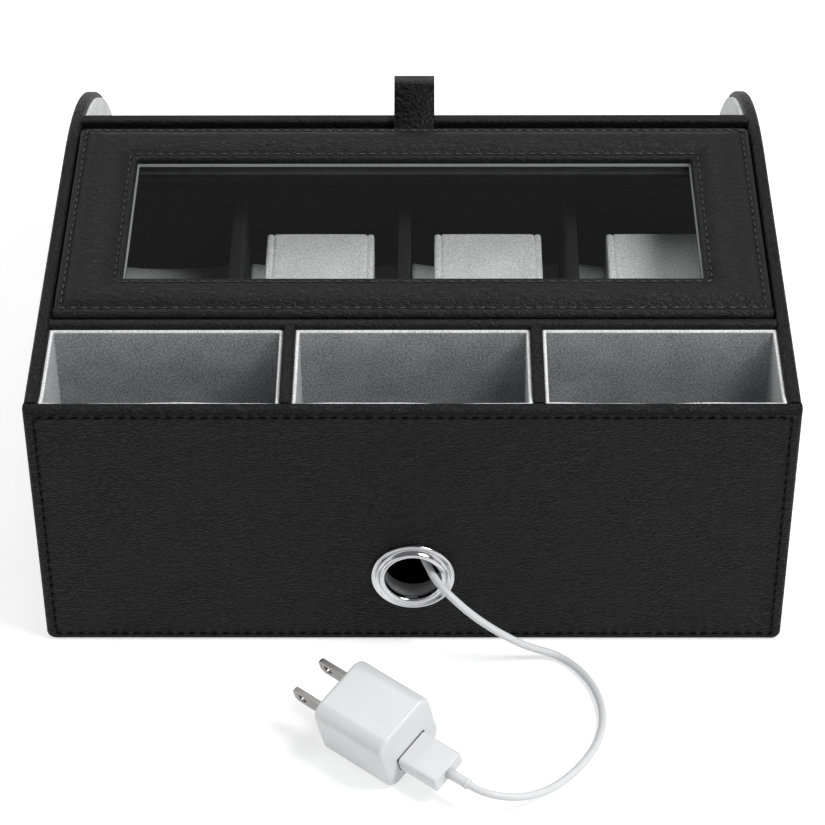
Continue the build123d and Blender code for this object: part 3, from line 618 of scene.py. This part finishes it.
class VALET_OT_linings(bpy.types.Operator):
    """Line the pockets, the tray and the wings with suede"""

    bl_idname = "valet.linings"
    bl_label = "Suede linings"

    def execute(self, context):
        for word in ("left", "centre", "right"):
            self.pocket(word)
        dress("grey_suede", "tray_floor_lining", "tray_rear_lining", "drawer_lining")
        dress("pale_suede", "wing_lining_left", "wing_lining_right")
        return {"FINISHED"}

    def pocket(self, word):
        """Suede folded into a pocket: crisp corners, a cable hole and an edge that rises at the back, its top
        given the pale suede as a painted highlight.
        """
        low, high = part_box(f"pocket_lining_{word}")
        thick, hole, rise_run, rise = 1.2 * MM, 7.0 * MM, 7.0 * MM, 0.95 * MM
        middle = (low + high) / 2

        def ring(by):
            return rounded_ring(low.x + by, high.x - by, low.y + by, high.y - by, 0.3 * MM, 64, 48, 3)

        def edge(by, drop):
            points = []
            for x, y in ring(by):
                near = min(max((y - high.y + rise_run) / rise_run, 0), 1)
                wave = 0.2 * MM * math.sin(x / (9.0 * MM)) + 0.1 * MM * math.sin(x / (3.7 * MM) + 1.0)
                points.append((x, y, high.z - drop + near**2 * (3 - 2 * near) * (rise + wave)))
            return points

        floor = low.z + thick
        opening = []
        for x, y in ring(0):
            turn = math.atan2(y - middle.y, x - middle.x)
            opening.append((middle.x + hole * math.cos(turn), middle.y + hole * math.sin(turn)))
        fold = ((0.02, 0.5), (0.15, 0.12), (0.5, 0), (0.85, 0.05), (1.1, 0.25))
        rings = [edge(by * MM, drop * MM) for by, drop in fold]
        rings += [edge(thick, drop) for drop in (0.6 * MM, 8.0 * MM)]
        flats = ((ring(thick), floor), (opening, floor), (opening, low.z), (ring(0.02 * MM), low.z))
        rings += [[(x, y, z) for x, y in flat] for flat, z in flats]
        rings.append(rings[0])
        # Painted highlight: the faces of the top edge take the pale suede, the walls the grey suede of the
        # same lining.
        lit_edge_faces = 5 * len(rings[0])
        pocket = new_piece(f"pocket_suede_{word}", *loft_rings(rings), "grey_suede", False)
        pocket.data.materials.append(MATERIALS["pale_suede"])
        for face in pocket.data.polygons:
            face.use_smooth = face.index < lit_edge_faces
            face.material_index = int(face.index < lit_edge_faces)
        mend_normals(pocket)
        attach(pocket, "carcase")
        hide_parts(f"pocket_lining_{word}")


class VALET_OT_lid(bpy.types.Operator):
    """Make the lid: padded leather border, stitches, glass and pull tab"""

    bl_idname = "valet.lid"
    bl_label = "Glazed lid"

    def execute(self, context):
        sizes = context.scene.valet_sizes
        low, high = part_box("lid_cover")
        bead_low, bead_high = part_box("lid_glazing_bead")
        top = high.z - 0.5 * MM
        glass_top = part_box("lid_glass")[1].z
        overlap, inset, rear_share = 3.0 * MM, 2.4 * MM, 0.18
        counts = (250, 110, 8)
        dip, dip_half = sizes.seam_dip, 0.35 * MM
        axle_y, axle_z, clear = high.y + 0.3 * MM, top - 2.9 * MM, 2.27 * MM
        ease_run, ease_drop = 8.0 * MM, 0.75 * MM

        def outer_ring(by):
            rear, radius = high.y - rear_share * by, max(2.0 * MM - by, 0.3 * MM)
            return rounded_ring(low.x + by, high.x - by, low.y + by, rear, radius, *counts)

        def inner_ring(by):
            a, b, radius = bead_low, bead_high, 0.5 * MM + by / 2
            back = overlap - by
            return rounded_ring(a.x + back, b.x - back, a.y + back, b.y - back, radius, *counts)

        def level(ring, z):
            return [(x, y, z) for x, y in ring]

        def drawn(ring, z, depth):
            """A ring drawn down by its stitches."""
            points = []
            run = 0.0
            for step, (x, y) in enumerate(ring):
                if step:
                    run += math.hypot(x - ring[step - 1][0], y - ring[step - 1][1])
                pull = 0.72 + 0.28 * math.cos(2 * math.pi * run / sizes.stitch_pitch)
                points.append((x, y, z - depth * pull))
            return points

        def eased(x, y, z):
            """A point of the border, eased down towards the hinge."""
            near = min(max((y - high.y + ease_run) / ease_run, 0), 1)
            return x, y, z - ease_drop * near**2

        hem = ((1.1, 0.9), (1.1, 0), (0.3, 0), (0, 0.3))
        rings = [level(outer_ring(by * MM), low.z + rise * MM) for by, rise in hem]
        edge, wall, walls = 1.7 * MM, low.z + 0.3 * MM, 16
        for step in range(1, walls):
            rings.append(level(outer_ring(0), wall + (top - edge - wall) * step / walls))
        for step in range(9):
            angle = math.radians(90 * step / 8)
            rings.append(level(outer_ring(edge * (1 - math.cos(angle))), top - edge * (1 - math.sin(angle))))
        rings.append(drawn(outer_ring(inset - dip_half), top, dip * 0.5))
        rings.append(drawn(outer_ring(inset), top, dip))
        start, end, steps = outer_ring(inset), inner_ring(inset), 26
        for step in range(1, steps):
            share = step / steps
            rise = (1 - abs(2 * share - 1) ** 2.3) * (sizes.lid_crown + dip) - dip
            near = min(share, 1 - share) * steps
            ring = [(a[0] + (b[0] - a[0]) * share, a[1] + (b[1] - a[1]) * share) for a, b in zip(start, end)]
            rings.append(drawn(ring, top + rise, 0.25 * dip / near if near < 3 else 0.0))
        rings.append(drawn(inner_ring(inset), top, dip))
        rings.append(drawn(inner_ring(inset - dip_half), top, dip * 0.5))
        edge = 1.1 * MM
        for step in range(6):
            angle = math.radians(90 * step / 5)
            rings.append(level(inner_ring(edge * (1 - math.sin(angle))), top - edge * (1 - math.cos(angle))))
        rings += [level(inner_ring(by), glass_top + 0.05 * MM) for by in (0, 1.1 * MM)]
        for ring in rings:
            for index, (x, y, z) in enumerate(ring):
                if z > top - 1.9 * MM:
                    x, y, z = ring[index] = eased(x, y, z)
                reach = math.hypot(y - axle_y, z - axle_z)
                if reach < clear:
                    push = clear / max(reach, 0.2 * MM)
                    side = min(y - axle_y, -0.15 * MM)
                    ring[index] = (x, axle_y + side * push, axle_z + (z - axle_z) * push)
        cover = new_piece("lid_padding", *loft_rings(rings), "lid_leather")
        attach(cover, "lid")
        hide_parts("lid_cover")
        height = top - dip * 0.9 + sizes.thread * 0.6
        rows = [([eased(*point) for point in level(line, height)], True) for line in (start, end)]
        sew("lid_stitches", rows, "lid", "lit_lid_thread")
        dress("window_glass", "lid_glass")
        dress("black_velvet", "lid_backing")
        ground = ((-0.02, 0.9), (-0.5, 0.06), (-0.02, 0.06), (-0.02, 0.9))
        bevel = [level(inner_ring(by * MM), glass_top + rise * MM) for by, rise in ground]
        edge_piece = lofted("glass_bevel", bevel, "ground_glass", False, False)
        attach(edge_piece, "lid")
        dress("dark_board", "lid_frame", "lid_glazing_bead", "lid_stop_strip")
        self.pull_tab()
        return {"FINISHED"}

    def pull_tab(self):
        """A strap folded over at its tip, bent up from the lid's front edge."""
        low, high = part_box("lid_tab")
        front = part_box("lid_cover")[0].y
        thick, curve, tip_back = 1.8 * MM, 1.2 * MM, 2.1 * MM
        middle = low.z + thick / 2
        half = thick / 2
        bend = Vector((0, front - 2.0 * MM, middle))
        tip = Vector((0, low.y + 0.42 * MM, high.z - 0.35 * MM))
        way = (tip - bend).normalized()
        across = Vector((1, 0, 0))
        line = [Vector((0, front + 8.0 * MM, middle)), Vector((0, front, middle))]
        for step in range(7):
            share = step / 6
            a = bend + Vector((0, curve, 0)) * (1 - share)
            line.append(a.lerp(bend + way * curve * share, share))
        steps = 12
        for step in range(1, steps + 1):
            line.append(bend + way * (curve + ((tip - bend).length - tip_back) * step / steps))
        rings = []
        last = len(line) - 1
        for index, point in enumerate(line):
            ahead = (line[min(index + 1, last)] - line[max(index - 1, 0)]).normalized()
            puff = 0.12 * MM * math.sin(math.pi * index / last)
            rings.append(self.strap_section(point, across.cross(ahead) * -1, low.x, high.x, half + puff))
        for step in range(1, 5):
            angle = math.radians(90 * step / 4)
            point = line[-1] + way * half * math.sin(angle)
            thin = max(half * math.cos(angle), 0.02 * MM)
            rings.append(self.strap_section(point, across.cross(way) * -1, low.x, high.x, thin))
        tab = lofted("lid_pull", rings, "tab_leather")
        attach(tab, "lid")
        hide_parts("lid_tab")

    def strap_section(self, point, up, low_x, high_x, half):
        """A flat section with rounded edges."""
        points = []
        edge = min(0.55 * MM, half)
        left, right, rise = low_x + edge, high_x - edge, half - edge
        for x, z, turn in ((right, rise, 0), (left, rise, 90), (left, -rise, 180), (right, -rise, 270)):
            for step in range(4):
                angle = math.radians(turn + 30 * step)
                place = Vector((x + edge * math.cos(angle), point.y, point.z))
                points.append(place + up * (z + edge * math.sin(angle)))
        return points


class VALET_OT_watch_case(bpy.types.Operator):
    """Make the watch insert, its floor pads and the wrapped pillows"""

    bl_idname = "valet.watch_case"
    bl_label = "Watch case"

    def execute(self, context):
        dress("black_velvet", "watch_insert", "watch_divider_1", "watch_divider_2", "watch_divider_3")
        self.floor_pads()
        for number in (1, 2, 3):
            self.pillow(number)
        return {"FINISHED"}

    def floor_pads(self):
        """Thin padded suede in each compartment, hollow in the middle and drawn up along the dividers."""
        low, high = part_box("watch_floor_pads")
        gap, reach_in, hollow, sunk, turned = 0.4 * MM, 14.0 * MM, 2.6 * MM, 1.4 * MM, 0.7 * MM
        walls = [low.x - gap]
        for number in (1, 2, 3):
            walls += [corner.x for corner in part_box(f"watch_divider_{number}")]
        walls.append(high.x + gap)
        vertices = []
        faces = []
        for left, right in zip(walls[0::2], walls[1::2]):
            middle, reach = (left + right) / 2, (right - left) / 2
            rings = []
            for step in range(13):
                share = step / 12
                by = gap + reach_in * share
                rise = high.z - turned * max(1 - 6 * share, 0) ** 2
                near, far, radius = low.y + by - gap, high.y - by + gap, max(1.2 * MM, 0.4 * by)
                ring = rounded_ring(left + by, right - by, near, far, radius, 24, 48, 4)
                slopes = [(x, y, (abs(x - middle) / reach) ** 2.2) for x, y in ring]
                rings.append([(x, y, rise + hollow * slope - sunk) for x, y, slope in slopes])
            rings.insert(0, [(x, y, low.z) for x, y, _ in rings[0]])
            more, sides = loft_rings(rings, True)
            first = len(vertices)
            vertices += more
            faces += [tuple(index + first for index in side) for side in sides]
        pads = new_piece("watch_pads", vertices, faces, "pale_suede")
        mend_normals(pads)
        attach(pads, "carcase")
        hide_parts("watch_floor_pads")

    def pillow(self, number):
        """A foam block wrapped in suede, full between its two seams and drawn in at the seams."""
        low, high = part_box(f"watch_pillow_{number}")
        middle = (low + high) / 2
        half = (high - low) / 2
        seam = half.x - 2.4 * MM
        full_width, cap_share = seam - 0.5 * MM, 0.4
        shares = [-1 + 2 * step / 40 for step in range(41)]
        profile = [(share * full_width, 1 - 0.004 * abs(share) ** 4) for share in shares]
        by_seam = ((-0.25, 0.985), (0, 0.968), (0.3, 0.985), (0.9, 0.994))
        by_end = ((0.9, 0.994), (0.35, 0.985), (0.08, 0.965), (0, 0.93))
        caps = [(seam + by * MM, full) for by, full in by_seam]
        caps += [(half.x - by * MM, full) for by, full in by_end]
        stations = [(-x, full) for x, full in reversed(caps)] + profile + caps
        rings = []
        for x, full in stations:
            shrink = half.z * (1 - full)
            wide, tall = half.y - shrink, half.z - shrink
            ring = rounded_ring(-wide, wide, -tall, tall, 1.8 * MM * full, 22, 10, 9)
            bulge = 0.12 * MM * (1 - min(abs(x) / seam, 1) ** 2)
            points = []
            for y, z in ring:
                crown = bulge * math.cos(0.5 * math.pi * y / half.y) - 0.1 * MM if z > 0 else 0.0
                points.append((middle.x + x, middle.y + y, min(middle.z + z + crown, high.z)))
            rings.append(points)
        ends = []
        for ring, x in ((rings[0], middle.x - half.x), (rings[-1], middle.x + half.x)):
            inward = [middle.lerp(Vector(point), cap_share) for point in ring]
            ends.append([(x, point.y, point.z) for point in inward])
        rings = [ends[0], *rings, ends[1]]
        pillow = lofted(f"watch_cushion_{number}", rings, "pillow_suede")
        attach(pillow, "carcase")
        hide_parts(f"watch_pillow_{number}")


class VALET_OT_drawer(bpy.types.Operator):
    """Wrap and sew the drawer's front and finish its box and tab"""

    bl_idname = "valet.drawer"
    bl_label = "Drawer"

    def execute(self, context):
        dress("front_leather", "drawer_front")
        dress("tab_leather", "drawer_tab")
        dress("board_wood", "drawer_box")
        low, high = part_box("drawer_front")
        y, inset = low.y - THREAD_PROUD, 3.0 * MM
        row = upright_row(y, high.x - inset, low.x + inset, low.z + inset, high.z - inset)
        sew("drawer_stitches", [row], "drawer")
        return {"FINISHED"}


class VALET_OT_metalwork(bpy.types.Operator):
    """Turn the cord grommet's eyelet and finish the other metal"""

    bl_idname = "valet.metalwork"
    bl_label = "Metalwork"

    def execute(self, context):
        dress("bright_chrome", "grommet_washer")
        dress("bright_steel", "plug_shell")
        dress("blade_nickel", "charger_blades")
        self.eyelet()
        return {"FINISHED"}

    def eyelet(self):
        """A pressed ring: rolled outer edge, shallow groove, rolled lip and a barrel clinched inside."""
        low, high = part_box("grommet_eyelet")
        centre = (low + high) / 2
        flange = high.x - centre.x
        inside = low.y - BACK_Y
        hole = flange - 4.5 * MM
        roll, roll_out, lip, lip_out = 0.62 * MM, 0.5 * MM, 0.98 * MM, 1.2 * MM
        section = [(0.0, flange - 0.1 * MM)]
        for step in range(7):
            turn = math.radians(-20 + 25 * step)
            section.append((roll_out + roll * math.sin(turn), flange - roll + roll * math.cos(turn)))
        groove = ((0.8, 1.4), (0.42, 1.9), (0.45, 2.3))
        section += [(out * MM, flange - by * MM) for out, by in groove]
        for step in range(13):
            turn = math.radians(25 + 155 * step / 12)
            section.append((lip_out + lip * math.sin(turn), hole + lip + lip * math.cos(turn)))
        section += [(0.4 * MM, hole), (-2.0 * MM, hole)]
        clinch = ((0.5, 0), (0, 0.3), (0, 2.0), (0.3, 2.2), (0.8, 2.2), (0.8, 1.0))
        section += [(inside + out * MM, hole + by * MM) for out, by in clinch]
        section += [(0.0, hole + 1.0 * MM), section[0]]
        foot = Vector((centre.x, BACK_Y, centre.z))
        out, wide, up = Vector((0, 1, 0)), Vector((1, 0, 0)), Vector((0, 0, 1))
        rings = turned_rings(foot, out, wide, up, section, 96)
        ring = lofted("grommet_ring", rings, "bright_chrome", False)
        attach(ring, "carcase")
        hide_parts("grommet_eyelet")


class VALET_OT_boards(bpy.types.Operator):
    """Finish the boards and felt under the leather"""

    bl_idname = "valet.boards"
    bl_label = "Inner boards"

    def execute(self, context):
        dress("base_felt", "base_felt")
        dress("dark_board", "base_panel", "deck_panel", "bay_wall", "pocket_floor")
        return {"FINISHED"}


class VALET_OT_charger(bpy.types.Operator):
    """Finish the charger and the plug: a black plate as painted shade in the gap at the port, ringed strain
    relief
    """

    bl_idname = "valet.charger"
    bl_label = "Charger"

    def execute(self, context):
        dress("white_gloss", "charger_body", "usb_plug", "device_connector")
        dress("tie_black", "cord_tie")
        roll = math.radians(15.0)
        out = Vector((-math.cos(PLUG_TURN), math.sin(PLUG_TURN), 0))
        wide = Vector((0, 0, 1)).cross(out) * math.cos(roll) + Vector((0, 0, math.sin(roll)))
        up = out.cross(wide)
        middle = Vector((PORT[0] * MM, BACK_Y + PORT[1] * MM, PORT[2] * MM))
        # Painted shade: a thin black plate fills the gap between the plug and the charger's face, where
        # shadow falls.
        half_wide, half_up = wide * 6.55 * MM, up * 2.75 * MM
        corners = ((1, 1), (-1, 1), (-1, -1), (1, -1))
        rings = []
        for reach in (0.02 * MM, 0.38 * MM):
            rings.append([middle + out * reach + half_wide * a + half_up * b for a, b in corners])
        gap_shade = lofted("painted_port_shade", rings, "tie_black", smooth=False)
        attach(gap_shade, "carcase")
        sleeve = ((15.02, 1.0), (15.02, 1.8), (18.5, 1.72), (22.1, 1.64), (22.25, 1.64), (22.35, 1.85))
        sleeve += ((22.7, 1.85), (22.85, 1.7), (23.0, 1.5), (23.0, 1.1))
        section = [(reach * MM, radius * MM) for reach, radius in sleeve]
        rings = turned_rings(middle, out, wide, up, section, 32)
        collar = lofted("strain_sleeve", rings, "white_gloss")
        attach(collar, "carcase")
        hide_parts("plug_strain_relief")
        return {"FINISHED"}


class VALET_OT_cord(bpy.types.Operator):
    """Lay the lead: stored turns, out through the grommet, along the floor to the plug"""

    bl_idname = "valet.cord"
    bl_label = "Charging lead"

    def execute(self, context):
        sizes = context.scene.valet_sizes
        coil_x, coil_y, coil_z = 44.0, -36.0, 6.85
        outer, pitch, rise, layers, turns, share = 19.4, 4.0, 3.6, 4, 2, 0.25

        def turn_point(turn):
            """A point of the stored turns: in and out, climbing where the spiral turns back."""
            reversal = round(turn / turns)
            away = turn - turns * reversal
            step = abs(away)
            if step < share:
                step = step**2 / (2 * share) + share / 2
            radius = outer - pitch * step if reversal % 2 == 0 else outer - turns * pitch + pitch * step
            climb = min(int(turn / turns), layers - 1)
            if 0 < reversal < layers and abs(away) < share:
                part = (away + share) / (2 * share)
                climb = reversal - 1 + part**2 * (3 - 2 * part)
            angle = math.pi / 2 + 2 * math.pi * turn
            return coil_x + radius * math.cos(angle), coil_y + radius * math.sin(angle), coil_z + rise * climb

        first = turn_point(0)
        last = turn_point(layers * turns)
        route = [(first[0] + 16.0, *first[1:]), (first[0] + 8.0, *first[1:])]
        count = layers * turns * sizes.coil_steps
        route += [turn_point(step / sizes.coil_steps) for step in range(count + 1)]
        route += [(last[0] - 2.5, *last[1:]), (last[0] - 11.1, *last[1:])]
        route += [(23.5, -18.2, 20.0), (14.0, -19.6, 23.2), (5.2, -18.4, 26.6), (-1.2, -12.6, 29.4)]
        route += [(-4.2, -4.4, 30.4), (-7.4, 4.8, 30.2), (-13.3, 10.8, 27.7), (-19.8, 11.4, 20.8)]
        route += [(-27.8, 10.4, 12.8), (-37.0, 9.2, 5.4), (-46.5, 8.2, 1.25), (-54.3, 15.6, 1.25)]
        route += [(-59.4, 26.0, 1.25), (-60.9, 38.0, 1.25), (-57.8, 50.0, 1.25), (-50.8, 60.6, 1.25)]
        route += [(-43.6, 68.0, 2.0), (-37.2, 73.2, 4.2), (-30.0, 77.2, 7.4)]
        for reach in (28.0, 23.0):
            aside, back = reach * math.cos(PLUG_TURN), reach * math.sin(PLUG_TURN)
            route.append((PORT[0] - aside, PORT[1] + back, PORT[2]))
        line = bpy.data.curves.new("charging_lead", "CURVE")
        line.dimensions = "3D"
        spline = line.splines.new("NURBS")
        spline.points.add(len(route) - 1)
        for point, (x, out, z) in zip(spline.points, route):
            point.co = (x * MM, BACK_Y + out * MM, z * MM, 1)
        spline.order_u = 3
        spline.use_endpoint_u = True
        spline.resolution_u = 8
        line.bevel_depth = sizes.cord_diameter / 2
        line.bevel_resolution = 5
        line.use_fill_caps = True
        line.materials.append(MATERIALS["white_cord"])
        lead = bpy.data.objects.new("charging_lead", line)
        context.scene.collection.objects.link(lead)
        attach(lead, "carcase")
        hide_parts("cord_lead", "cord_coil")
        return {"FINISHED"}


class VALET_OT_stage(bpy.types.Operator):
    """Set the floor, the light and the camera"""

    bl_idname = "valet.stage"
    bl_label = "Stage"

    def execute(self, context):
        scene = context.scene
        stage = scene.valet_stage
        scene.view_settings.view_transform = "Standard"
        half, under = 4.0, -0.2 * MM
        corners = ((-half, -half), (half, -half), (half, half), (-half, half))
        points = [(x, y, under) for x, y in corners]
        self.floor_material()
        floor = new_piece("floor", points, [(0, 1, 2, 3)], "floor_white", False)
        self.sky(scene)
        self.lamp("key_lamp", (-0.70, 0.28, 1.20), 0.55, 0.55, stage.key_light)
        self.lamp("top_lamp", (0.15, -0.55, 1.15), 0.8, 0.8, stage.top_light)
        self.lamp("fill_lamp", (1.2, -0.30, 0.42), 0.9, 1.1, stage.fill_light)
        self.camera(scene, stage)
        return {"FINISHED"}

    def floor_material(self):
        """White floor that keeps the object's shadow."""
        shader, place = new_material("floor_white")
        white = ramp(noise(place, 30, 2), 0.4, 0.6, [0.73] * 3, [0.75] * 3)
        glow = math_node("MULTIPLY", seen_rays(place.id_data), 0.6)
        fill(shader, {"Base Color": white, "Roughness": 0.9, "Specular IOR Level": 0.0})
        fill(shader, {"Emission Color": (1, 1, 1, 1), "Emission Strength": glow})

    def sky(self, scene):
        """White walls round the floor, dimmer to the front, under a dark ceiling."""
        world = bpy.data.worlds.new("studio")
        world.use_nodes = True
        tree = world.node_tree
        way = add_node(tree, "ShaderNodeTexCoord").outputs["Generated"]
        _, front, up = axes(way)
        ceiling = math_node("MULTIPLY_ADD", seen_rays(tree), 0.15, 0.05)
        wall = between(up, 1.0, ceiling, 0.36, 0.52)
        strength = math_node("MULTIPLY", wall, between(front, 0.4, 1.0, -1.0, 0.3))
        fill(tree.nodes["Background"], {"Color": (1, 1, 1, 1), "Strength": strength})
        scene.world = world

    def lamp(self, name, place, wide, tall, power):
        """A soft rectangular lamp that looks at the box."""
        target = Vector((0.0, 0.0, 0.06))
        light = bpy.data.lights.new(name, "AREA")
        light.shape = "RECTANGLE"
        light.size = wide
        light.size_y = tall
        light.energy = power
        lamp = bpy.data.objects.new(name, light)
        lamp.location = place
        lamp.rotation_euler = (target - Vector(place)).to_track_quat("-Z", "Y").to_euler()
        bpy.context.scene.collection.objects.link(lamp)

    def camera(self, scene, stage):
        """The camera behind the box, looking down on it."""
        lens = bpy.data.cameras.new("camera")
        lens.sensor_fit = "HORIZONTAL"
        lens.sensor_width = 36.0
        lens.lens = stage.lens
        lens.clip_end = 20.0
        camera = bpy.data.objects.new("camera", lens)
        level, down = math.cos(stage.pitch), math.sin(stage.pitch)
        ahead = Vector((-math.sin(stage.yaw) * level, -math.cos(stage.yaw) * level, -down))
        right = Vector((-math.cos(stage.yaw), math.sin(stage.yaw), 0))
        up = right.cross(ahead)
        right_rolled = right * math.cos(stage.roll) + up * math.sin(stage.roll)
        up_rolled = up * math.cos(stage.roll) - right * math.sin(stage.roll)
        turn = Matrix((right_rolled, up_rolled, -ahead)).transposed().to_4x4()
        place = Matrix.Translation((-6.05 * MM, BACK_Y + 707.1 * MM, 687.6 * MM))
        camera.matrix_world = place @ turn
        scene.collection.objects.link(camera)
        scene.camera = camera


class VALET_PT_panel(bpy.types.Panel):
    """The valet's steps, in the sidebar"""

    bl_idname = "VALET_PT_panel"
    bl_label = "Desk valet"
    bl_space_type = "VIEW_3D"
    bl_region_type = "UI"
    bl_category = "Valet"

    def draw(self, context):
        for step in STEPS:
            self.layout.operator(step.bl_idname)
        for group in (context.scene.valet_sizes, context.scene.valet_colours, context.scene.valet_stage):
            for name in group.__annotations__:
                self.layout.prop(group, name)


GROUPS = (ValetSizes, ValetColours, ValetStage)
STEPS = (
    VALET_OT_materials,
    VALET_OT_stage,
    VALET_OT_charger,
    VALET_OT_cord,
    VALET_OT_shell,
    VALET_OT_linings,
    VALET_OT_lid,
    VALET_OT_watch_case,
    VALET_OT_drawer,
    VALET_OT_metalwork,
    VALET_OT_boards,
)
CLASSES = (*GROUPS, *STEPS, VALET_PT_panel)


def register():
    """Register the classes and hang their settings on the scene."""
    for item in CLASSES:
        bpy.utils.register_class(item)
    bpy.types.Scene.valet_sizes = PointerProperty(type=ValetSizes)
    bpy.types.Scene.valet_colours = PointerProperty(type=ValetColours)
    bpy.types.Scene.valet_stage = PointerProperty(type=ValetStage)


def unregister():
    """Take the settings and the classes away again."""
    del bpy.types.Scene.valet_stage
    del bpy.types.Scene.valet_colours
    del bpy.types.Scene.valet_sizes
    for item in reversed(CLASSES):
        bpy.utils.unregister_class(item)


def main():
    """Make every piece in order."""
    register()
    for step in STEPS:
        group, name = step.bl_idname.split(".")
        getattr(getattr(bpy.ops, group), name)()


if __name__ == "__main__":
    main()
